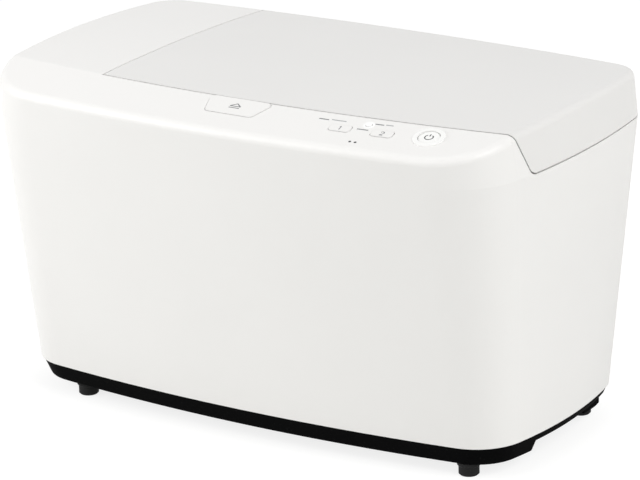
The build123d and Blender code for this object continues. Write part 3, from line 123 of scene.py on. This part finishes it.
def lightWorld():
    world = bpy.data.worlds.new("studioWorld")
    bpy.context.scene.world = world
    world.use_nodes = True
    tree = world.node_tree
    tree.nodes.clear()
    seen = seenRays(tree)
    white = (1, 1, 1, 1)
    shown = addNode(tree, "ShaderNodeBackground", inputs={"Color": white, "Strength": 1.0})
    fill = addNode(tree, "ShaderNodeBackground", inputs={"Color": white, "Strength": studio["worldFill"]})
    mix = addNode(tree, "ShaderNodeMixShader", inputs={0: seen, 1: fill.outputs[0], 2: shown.outputs[0]})
    addNode(tree, "ShaderNodeOutputWorld", inputs={"Surface": mix.outputs[0]})


def layFloor():
    # pale paper sweep: white to the eye, with the object's shadow kept in its lamp-lit share
    half = studio["floorHalf"]
    corners = [(-half, -half, 0), (half, -half, 0), (half, half, 0), (-half, half, 0)]
    mesh = bpy.data.meshes.new("paperFloor")
    mesh.from_pydata(corners, [], [(0, 1, 2, 3)])
    floor = bpy.data.objects.new("paperFloor", mesh)
    bpy.context.scene.collection.objects.link(floor)
    paper = bpy.data.materials.new("whitePaper")
    paper.use_nodes = True
    tree = paper.node_tree
    tree.nodes.clear()
    seen = seenRays(tree)
    share = studio["floorDiffuseShare"]
    full = linearColour(studio["floorHex"])
    pale = addNode(tree, "ShaderNodeBsdfDiffuse", inputs={"Color": full})
    part = addNode(
        tree, "ShaderNodeBsdfDiffuse", inputs={"Color": tuple(share * c for c in full[:3]) + (1,)}
    )
    glow = addNode(
        tree, "ShaderNodeEmission", inputs={"Color": (1, 1, 1, 1), "Strength": studio["floorGlow"]}
    )
    lit = addNode(tree, "ShaderNodeAddShader", inputs={0: part.outputs[0], 1: glow.outputs[0]})
    mix = addNode(tree, "ShaderNodeMixShader", inputs={0: seen, 1: pale.outputs[0], 2: lit.outputs[0]})
    addNode(tree, "ShaderNodeOutputMaterial", inputs={"Surface": mix.outputs[0]})
    mesh.materials.append(paper)


placeCamera()
placeLamps()
lightWorld()
layFloor()
bpy.context.scene.view_settings.view_transform = "Standard"
print("studio ready")


# ---------- materials ----------
def newTree(name):
    material = bpy.data.materials.new(name)
    material.use_nodes = True
    tree = material.node_tree
    tree.nodes.clear()
    shader = addNode(tree, "ShaderNodeBsdfPrincipled")
    addNode(tree, "ShaderNodeOutputMaterial", inputs={"Surface": shader.outputs[0]})
    place = addNode(tree, "ShaderNodeTexCoord").outputs["Object"]
    return material, tree, shader, place


def setShader(shader, **values):
    # a name such as Coat_Weight stands for the socket Coat Weight
    for key, value in values.items():
        shader.inputs[key.replace("_", " ")].default_value = value


def blendHex(tree, factor, lowHex, highHex):
    mix = addNode(tree, "ShaderNodeMix", {"data_type": "RGBA"}, {0: factor})
    mix.inputs[6].default_value = linearColour(lowHex)
    mix.inputs[7].default_value = linearColour(highHex)
    return mix.outputs[2]


def grainNormal(tree, height, depth, edgeRound=0.0):
    # bump by a height in metres, over edges that are eased by edgeRound
    bump = addNode(tree, "ShaderNodeBump", inputs={"Strength": 1.0, "Distance": depth, "Height": height})
    if edgeRound > 0:
        ease = addNode(tree, "ShaderNodeBevel", {"samples": 4}, {"Radius": edgeRound})
        tree.links.new(ease.outputs[0], bump.inputs["Normal"])
    return bump.outputs[0]


def mouldedPlastic(name, lowHex, highHex, look):
    # injection-moulded thermoplastic: an even eroded grain, a slight drift of tone where the melt flowed
    material, tree, shader, place = newTree(name)
    driftScale, grainScale = 1 / (look["driftMm"] * mm), 1 / (look["grainMm"] * mm)
    drift = addNode(tree, "ShaderNodeTexNoise", inputs={"Vector": place, "Scale": driftScale, "Detail": 2.0})
    grain = addNode(tree, "ShaderNodeTexNoise", inputs={"Vector": place, "Scale": grainScale, "Detail": 3.0})
    tree.links.new(blendHex(tree, drift.outputs[0], lowHex, highHex), shader.inputs["Base Color"])
    gloss = addNode(
        tree,
        "ShaderNodeMapRange",
        inputs={0: grain.outputs[0], 3: look["roughness"] - 0.05, 4: look["roughness"] + 0.05},
    )
    tree.links.new(gloss.outputs[0], shader.inputs["Roughness"])
    normal = grainNormal(tree, grain.outputs[0], look["depthMm"] * mm, look.get("edgeMm", 0) * mm)
    tree.links.new(normal, shader.inputs["Normal"])
    setShader(shader, IOR=look["ior"], Specular_IOR_Level=look.get("specular", 0.5))
    if "coat" in look:
        setShader(shader, Coat_Weight=look["coat"], Coat_Roughness=0.12)
    return material


def turnedMetal(name, lowHex, highHex, look):
    # lathe-turned or spun metal: fine rings round the axis that centre and axis give
    material, tree, shader, place = newTree(name)
    offset = addNode(
        tree, "ShaderNodeVectorMath", {"operation": "SUBTRACT"}, {0: place, 1: look["centre"]}
    )
    flat = addNode(
        tree, "ShaderNodeVectorMath", {"operation": "MULTIPLY"}, {0: offset.outputs[0], 1: look["across"]}
    )
    radius = addNode(tree, "ShaderNodeVectorMath", {"operation": "LENGTH"}, {0: flat.outputs[0]})
    along = addNode(
        tree, "ShaderNodeVectorMath", {"operation": "DOT_PRODUCT"},
        {0: offset.outputs[0], 1: tuple(1 - a for a in look["across"])},
    )
    travel = addNode(
        tree, "ShaderNodeMath", {"operation": "ADD"}, {0: radius.outputs["Value"], 1: along.outputs["Value"]}
    )
    rings = addNode(
        tree, "ShaderNodeTexNoise", {"noise_dimensions": "1D"},
        {"W": travel.outputs[0], "Scale": 1 / (look["pitchMm"] * mm), "Detail": 2.0},
    )
    tree.links.new(blendHex(tree, rings.outputs[0], lowHex, highHex), shader.inputs["Base Color"])
    gloss = addNode(
        tree,
        "ShaderNodeMapRange",
        inputs={0: rings.outputs[0], 3: look["roughness"] - 0.08, 4: look["roughness"] + 0.08},
    )
    tree.links.new(gloss.outputs[0], shader.inputs["Roughness"])
    tree.links.new(
        grainNormal(tree, rings.outputs[0], look["depthMm"] * mm, look.get("edgeMm", 0.3) * mm),
        shader.inputs["Normal"],
    )
    setShader(shader, Metallic=1.0)
    return material


def speckled(name, lowHex, highHex, look):
    # cells of two tones, as zinc spangle, sintered pores, coating fleck or carbon grains have
    material, tree, shader, place = newTree(name)
    cells = addNode(
        tree, "ShaderNodeTexVoronoi", inputs={"Vector": place, "Scale": 1 / (look["cellMm"] * mm)}
    )
    tone = addNode(tree, "ShaderNodeRGBToBW", inputs={0: cells.outputs["Color"]})
    sharp = addNode(
        tree, "ShaderNodeMapRange", inputs={0: tone.outputs[0], 1: look["from"], 2: look["to"]}
    )
    tree.links.new(blendHex(tree, sharp.outputs[0], lowHex, highHex), shader.inputs["Base Color"])
    gloss = addNode(
        tree,
        "ShaderNodeMapRange",
        inputs={0: tone.outputs[0], 3: look["roughness"] - 0.06, 4: look["roughness"] + 0.06},
    )
    tree.links.new(gloss.outputs[0], shader.inputs["Roughness"])
    tree.links.new(
        grainNormal(tree, cells.outputs["Distance"], look["depthMm"] * mm, look.get("edgeMm", 0.3) * mm),
        shader.inputs["Normal"],
    )
    setShader(shader, Metallic=look.get("metallic", 0.0), IOR=look.get("ior", 1.5))
    return material


driveAxis = (48.5 * mm, 26.6 * mm, 0.0)
motorAxis = (-75 * mm, 26.6 * mm, 0.0)
fanAxis = (0.0, 0.0, 163 * mm)
plastics = {
    "driftMm": 90,        # tone drifts over a hand's width
    "grainMm": 0.9,       # real grain is near 0.1 mm; drawn coarser so that it shows
    "depthMm": 0.006,
}
# ABS for the housing, moulded in a finely eroded tool: warm white, satin, soft highlights
housingAbs = mouldedPlastic(
    "satinWhiteAbs", "ECEBE9", "EFEEEC", {**plastics, "roughness": 0.42, "ior": 1.53, "edgeMm": 0.5}
)
# ABS for the lid, from a tool polished a little finer: a shade greyer, with a faint sheen
lidAbs = mouldedPlastic(
    "lidWhiteAbs", "E3E2E0", "E6E5E3", {**plastics, "roughness": 0.36, "ior": 1.53, "edgeMm": 0.5}
)
# ABS for buttons and keys, from a polished tool: brighter white and glossier than the housing
buttonAbs = mouldedPlastic(
    "polishedWhiteAbs", "F4F4F2", "F7F7F5", {**plastics, "roughness": 0.22, "ior": 1.53, "edgeMm": 0.3}
)
# Opal acrylic for the lamp: bright and smooth, light scatters inside it
opalAcrylic = mouldedPlastic(
    "opalAcrylic", "FBFBFA", "FDFDFC", {**plastics, "grainMm": 3, "roughness": 0.12, "ior": 1.49, "coat": 0.5}
)
# Polypropylene for the base tray, textured tool: near black, dull, fine pebbled grain
basePolypropylene = mouldedPlastic(
    "grainedBlackPolypropylene", "050505", "080809",
    {
        **plastics, "grainMm": 1.2, "depthMm": 0.02, "roughness": 0.7, "ior": 1.49, "specular": 0.02,
        "edgeMm": 0.5,
    },
)
# Thermoplastic rubber for the feet: black, matt, a skin that scatters
footRubber = mouldedPlastic(
    "footRubber", "0D0D0D", "161616",
    {**plastics, "grainMm": 0.7, "depthMm": 0.02, "roughness": 0.75, "ior": 1.52, "specular": 0.25},
)
# Silicone for the seal: mid grey, smooth and soft
sealSilicone = mouldedPlastic(
    "sealSilicone", "6E7072", "787A7C", {**plastics, "roughness": 0.5, "ior": 1.41, "depthMm": 0.01}
)
# Chloroprene belt: black, dusty matt with a woven back
beltRubber = mouldedPlastic(
    "beltRubber", "101010", "1C1C1C",
    {**plastics, "grainMm": 0.6, "depthMm": 0.03, "roughness": 0.8, "ior": 1.52},
)
# Polypropylene for what is inside: light grey and plain
innerGrey = mouldedPlastic(
    "greyPolypropylene", "A9ABAC", "B2B4B5", {**plastics, "roughness": 0.45, "ior": 1.49, "edgeMm": 0.4}
)
# Glass-filled nylon for pulleys, fan and switches: black with pale flecks of fibre
blackNylon = speckled(
    "glassFilledNylon", "161617", "2C2C2E",
    {"cellMm": 0.8, "from": 0.6, "to": 0.95, "roughness": 0.5, "depthMm": 0.01},
)
# Cast aluminium with a non-stick coat, sprayed: charcoal with small pale flecks
bucketCoat = speckled(
    "nonStickCoat", "2A2A2C", "6A6A6C",
    {"cellMm": 1.1, "from": 0.86, "to": 0.97, "roughness": 0.34, "depthMm": 0.008},
)
# Aluminium sheet, spun: bright with fine rings
spunAluminium = turnedMetal(
    "spunAluminium", "C4C6C8", "D6D8DA",
    {"centre": driveAxis, "across": (1, 1, 0), "pitchMm": 0.8, "roughness": 0.38, "depthMm": 0.01},
)
# Stainless steel, turned and ground: bright, with fine rings round its shaft
drivenSteel = turnedMetal(
    "turnedStainless", "BFC1C3", "D2D4D6",
    {"centre": driveAxis, "across": (1, 1, 0), "pitchMm": 0.5, "roughness": 0.25, "depthMm": 0.006},
)
motorSteel = turnedMetal(
    "groundMotorSteel", "BCBEC0", "CFD1D3",
    {"centre": motorAxis, "across": (1, 1, 0), "pitchMm": 0.5, "roughness": 0.25, "depthMm": 0.006},
)
fanSteel = turnedMetal(
    "groundFanSteel", "BCBEC0", "CFD1D3",
    {"centre": fanAxis, "across": (0, 1, 1), "pitchMm": 0.5, "roughness": 0.25, "depthMm": 0.006},
)
# Investment-cast stainless for the blade, blasted: grey, sandy and a little worn bright
castStainless = speckled(
    "castStainless", "8C8E90", "B4B6B8",
    {
        "cellMm": 0.9, "from": 0.2, "to": 0.9, "roughness": 0.42, "depthMm": 0.02, "metallic": 1.0,
        "edgeMm": 0.8,
    },
)
# Zinc-plated steel for sheet, pins and screws: grey-blue spangle
zincSteel = speckled(
    "zincPlatedSteel", "A6ACB2", "C6CCD2",
    {"cellMm": 3.0, "from": 0.1, "to": 0.9, "roughness": 0.36, "depthMm": 0.004, "metallic": 1.0},
)
# Motor can, drawn steel with black stoving paint
canPaint = mouldedPlastic(
    "stovedMotorPaint", "34363A", "3E4044",
    {**plastics, "roughness": 0.35, "ior": 1.5, "coat": 0.3, "edgeMm": 0.5},
)
# Sintered bronze: brown-gold and porous
porousBronze = speckled(
    "sinteredBronze", "8E6E42", "B8925A",
    {"cellMm": 0.5, "from": 0.2, "to": 0.9, "roughness": 0.45, "depthMm": 0.01, "metallic": 1.0},
)
# Activated carbon: black grains with open pores
carbonGrain = speckled(
    "activatedCarbon", "0C0C0D", "242426",
    {"cellMm": 1.6, "from": 0.3, "to": 0.9, "roughness": 0.85, "depthMm": 0.3},
)
# Glass-fibre board with green solder mask: glossy over paler copper runs
boardMask = speckled(
    "solderMaskBoard", "0E4A26", "1F6E3C",
    {"cellMm": 4.0, "from": 0.45, "to": 0.55, "roughness": 0.25, "depthMm": 0.01, "ior": 1.55},
)
# Pad-printed ink: thin, matt, mid grey
printedInk = mouldedPlastic(
    "greyPrintingInk", "76787A", "808284", {**plastics, "grainMm": 0.4, "roughness": 0.6, "ior": 1.5}
)
paleInk = mouldedPlastic(
    "palePrintingInk", "A2A4A5", "AAACAD", {**plastics, "grainMm": 0.4, "roughness": 0.6, "ior": 1.5}
)
darkInk = mouldedPlastic(
    "darkPrintingInk", "303234", "3A3C3E", {**plastics, "grainMm": 0.4, "roughness": 0.55, "ior": 1.5}
)

wears = {
    "main_casing": housingAbs, "filter_cover": housingAbs, "lid_shell": lidAbs, "lid_panel": innerGrey,
    "lid_gasket": sealSilicone, "lid_catch": innerGrey, "lid_screws": zincSteel, "hinge_pins": zincSteel,
    "base_tray": basePolypropylene, "base_screws": zincSteel, "rubber_feet": footRubber,
    "chassis_plate": zincSteel, "chassis_screws": zincSteel, "drive_motor": canPaint,
    "motor_shaft": motorSteel, "motor_pulley": blackNylon, "drive_pulley": blackNylon,
    "drive_belt": beltRubber,
    "bearing_housing": spunAluminium, "drive_bearings": drivenSteel, "drive_shaft": drivenSteel,
    "drive_coupling": drivenSteel, "bucket_coupling": drivenSteel, "chamber_liner": spunAluminium,
    "heater": drivenSteel, "thermostat": blackNylon, "bucket": bucketCoat, "bucket_bushing": porousBronze,
    "blade_shaft": drivenSteel, "stirring_blade": castStainless, "fan_housing": blackNylon,
    "fan_motor": canPaint, "fan_impeller": blackNylon, "fan_shaft": fanSteel, "air_duct": innerGrey,
    "filter_tunnel": innerGrey, "filter_tray": innerGrey, "carbon_filter": carbonGrain,
    "latch_button": housingAbs, "latch_lever": innerGrey, "latch_pin": zincSteel, "latch_bracket": innerGrey,
    "key_left": housingAbs, "key_right": housingAbs, "power_ring": buttonAbs, "power_button": buttonAbs,
    "lamp_lens": opalAcrylic, "control_board": boardMask, "power_board": boardMask, "cord_inlet": blackNylon,
}
for nodeName, material in wears.items():
    slots = nodes[nodeName].data.materials
    slots.clear()
    slots.append(material)
print("materials on", len(wears), "nodes")


# ---------- printed marks and the seam strip ----------
# All of these are in millimetres. The control strip follows the front wall's bow, a circle of bowRadius
# about (0, bowCentre), and is tipped to the front.
strip = {
    "bowRadius": 1500.58,
    "bowCentre": 1370.28,
    "frontEdge": 43.0,     # from the lid's front edge to the strip's own front edge
    "drop": 11.3,          # the strip falls by this much over that width
    "top": 245.52,
}
inks = {
    "thick": 0.06,         # how far a printed mark stands proud
    "sunk": 0.02,          # and how far it reaches into what it is printed on
}
# where each mark sits: along the strip, forward of the seam, and how far its face is above the strip
powerMark = {
    "x": 154.5, "forward": 14.5, "rise": 0.3,
    "radius": 2.9, "gapDegrees": 70, "barFrom": 1.2, "barTo": 3.75, "line": 0.75,
}
openMark = {
    "x": 3.0, "forward": 10.35, "rise": 0.3,
    "width": 8.4, "height": 3.4, "barBelow": 2.0, "line": 0.8,
}
keyMarks = {
    "xs": (90.0, 121.5), "forward": 17.0, "rise": 0.3, "height": 4.2, "width": 2.5, "line": 0.6,
    "flagReach": 0.7,      # the flag of the 1 reaches left by this share of half its width
    "flagLevel": 0.55,     # and starts at this share of half its height
    "hookDegrees": (165, -35),
}
labelDashes = {
    "rise": 0.0,
    "line": 1.0,
    "dark": (((69.0, 9.0), 7.5), ((110.0, 6.8), 7.0), ((101.5, 15.0), 8.5)),      # start on the strip, length
    "pale": (((78.5, 8.4), 11.0), ((118.2, 6.3), 5.5)),
}
signalDots = {"xs": (105.6, 109.6), "forward": 30.6, "rise": 0.0, "radius": 0.95}
lampRing = {"x": 107.0, "forward": 9.0, "rise": 0.0, "radius": 3.4, "line": 1.7}
seamLip = {"from": -116.0, "to": 196.0, "forward": -0.4, "line": 0.68, "low": -1.6, "high": -0.06}


def stripFrame(x, forward):
    # place = (x, centre - d cos t, top - forward drop / edge), d = radius - edge + forward, t = asin(x / d);
    # across = (cos t, sin t, 0), out = (sin t sin s, -cos t sin s, cos s), s = atan(drop / edge)
    distance = strip["bowRadius"] - strip["frontEdge"] + forward
    turn = asin(x / distance)
    tip = atan(strip["drop"] / strip["frontEdge"])
    level = strip["top"] - forward * strip["drop"] / strip["frontEdge"]
    place = Vector((x, strip["bowCentre"] - distance * cos(turn), level))
    across = Vector((cos(turn), sin(turn), 0.0))
    out = Vector((sin(turn) * sin(tip), -cos(turn) * sin(tip), cos(tip)))
    return place, across, out.cross(across), out


def solidPiece(name, points, faces, material, body):
    # a closed mesh in the shared frame, its points given in millimetres
    mesh = bpy.data.meshes.new(name)
    mesh.from_pydata([tuple(mm * c for c in p) for p in points], [], faces)
    mesh.validate()
    piece = bpy.data.objects.new(name, mesh)
    bpy.context.scene.collection.objects.link(piece)
    mesh.materials.append(material)
    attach(piece, body)
    return piece


def ribbon(route, width, closed=False):
    # the two borders of a flat line: each point of the route moved by width / 2 along its own normal
    route = np.array(route, dtype=float)
    if closed:
        ahead, behind = np.roll(route, -1, 0), np.roll(route, 1, 0)
    else:
        ahead = np.vstack([route[1:], route[-1:]])
        behind = np.vstack([route[:1], route[:-1]])
    along = ahead - behind
    along /= np.linalg.norm(along, axis=1)[:, None]
    side = np.stack([-along[:, 1], along[:, 0]], 1) * width / 2
    return route + side, route - side


def printed(name, routes, where, material, body, closed=False):
    # each route is a flat line of given width, raised to a closed slab square to the strip
    place, across, up, out = stripFrame(where["x"], where["forward"])
    points, faces = [], []
    for route, width in routes:
        left, right = ribbon(route, width, closed)
        count, start = len(left), len(points)
        for level in (where["rise"] - inks["sunk"], where["rise"] + inks["thick"]):
            for border in (left, right):
                points += [place + across * u + up * v + out * level for u, v in border]
        low, lowR, high, highR = (start + count * k for k in range(4))
        for i in range(count if closed else count - 1):
            j = (i + 1) % count
            faces += [
                (high + i, highR + i, highR + j, high + j),
                (low + i, low + j, lowR + j, lowR + i),
                (low + i, high + i, high + j, low + j),
                (lowR + i, lowR + j, highR + j, highR + i),
            ]
        end = count - 1
        if not closed:
            faces += [(low, lowR, highR, high), (low + end, high + end, highR + end, lowR + end)]
    return solidPiece(name, points, faces, material, body)


def arcRoute(radius, fromDegrees, toDegrees, steps=28, centre=(0.0, 0.0)):
    # points (cx + r cos a, cy + r sin a) for equal steps of a
    turns = np.radians(np.linspace(fromDegrees, toDegrees, steps))
    return np.stack([centre[0] + radius * np.cos(turns), centre[1] + radius * np.sin(turns)], 1)


def printedDot(name, where, material, body, steps=24):
    # a round slab: a closed circle of points at both levels, with a face over each and a wall between
    place, across, up, out = stripFrame(where["x"], where["forward"])
    circle = roundRoute(where["radius"], steps)
    points = [
        place + across * u + up * v + out * level
        for level in (where["rise"] - inks["sunk"], where["rise"] + inks["thick"])
        for u, v in circle
    ]
    faces = [tuple(reversed(range(steps))), tuple(range(steps, 2 * steps))]
    faces += [(i, (i + 1) % steps, steps + (i + 1) % steps, steps + i) for i in range(steps)]
    return solidPiece(name, points, faces, material, body)


def roundRoute(radius, steps):
    # a whole circle without its last point, which would fall on the first
    return arcRoute(radius, 0, 360 * (steps - 1) / steps, steps)


def powerRoutes():
    # an arc that is open at the top, and a bar through the opening
    halfGap = powerMark["gapDegrees"] / 2
    arc = arcRoute(powerMark["radius"], 90 + halfGap, 450 - halfGap)
    bar = [(0.0, powerMark["barFrom"]), (0.0, powerMark["barTo"])]
    return [(arc, powerMark["line"]), (bar, powerMark["line"])]


def openRoutes():
    # a triangle over a bar
    half, peak, low = openMark["width"] / 2, (0.0, openMark["height"]), -openMark["barBelow"]
    left, right = (-half, 0.0), (half, 0.0)
    lines = ([left, peak], [peak, right], [left, right], [(-half, low), (half, low)])
    return [(line, openMark["line"]) for line in lines]


def numberRoutes():
    # a plain 1 of flag and stem, and a plain 2 of hook and foot
    tall, wide = keyMarks["height"] / 2, keyMarks["width"] / 2
    flag = [(-wide * keyMarks["flagReach"], tall * keyMarks["flagLevel"]), (0.0, tall)]
    stem = [(0.0, tall), (0.0, -tall)]
    hook = np.vstack([arcRoute(wide, *keyMarks["hookDegrees"], 16, (0.0, tall - wide)), [(-wide, -tall)]])
    foot = [(-wide, -tall), (wide, -tall)]
    return {
        "key_left": [(flag, keyMarks["line"]), (stem, keyMarks["line"])],
        "key_right": [(hook, keyMarks["line"]), (foot, keyMarks["line"])],
    }


printed("power_symbol", powerRoutes(), powerMark, darkInk, "power_button")
printed("open_symbol", openRoutes(), openMark, printedInk, "latch_button")
for (nodeName, routes), x in zip(numberRoutes().items(), keyMarks["xs"]):
    printed(f"{nodeName}_number", routes, {**keyMarks, "x": x}, printedInk, nodeName)
for shade, ink in (("dark", printedInk), ("pale", paleInk)):
    for number, ((x, forward), length) in enumerate(labelDashes[shade]):
        where = {**labelDashes, "x": x, "forward": forward}
        dash = [([(0.0, 0.0), (length, 0.0)], labelDashes["line"])]
        printed(f"label_{shade}_{number}", dash, where, ink, "casing")
for number, x in enumerate(signalDots["xs"]):
    printedDot(f"signal_dot_{number}", {**signalDots, "x": x}, darkInk, "casing")
ring = [(roundRoute(lampRing["radius"], 40), lampRing["line"])]
printed("lamp_ring", ring, lampRing, opalAcrylic, "casing", closed=True)


def layLip():
    # a narrow lip on the casing in the seam before the lid: a box section at the strip's place for each x
    points, faces = [], []
    for x in np.linspace(seamLip["from"], seamLip["to"], 60):
        place, across, up, out = stripFrame(x, seamLip["forward"])
        for v, level in ((-0.5, "low"), (0.5, "low"), (0.5, "high"), (-0.5, "high")):
            points.append(place + up * v * seamLip["line"] + out * seamLip[level])
    rings = len(points) // 4
    for i in range(rings - 1):
        for k in range(4):
            a, b = 4 * i + k, 4 * i + (k + 1) % 4
            faces.append((a, b, b + 4, a + 4))
    faces += [(3, 2, 1, 0), tuple(4 * (rings - 1) + k for k in range(4))]
    return solidPiece("seam_lip", points, faces, housingAbs, "casing")


layLip()
print("marks and seam lip on")
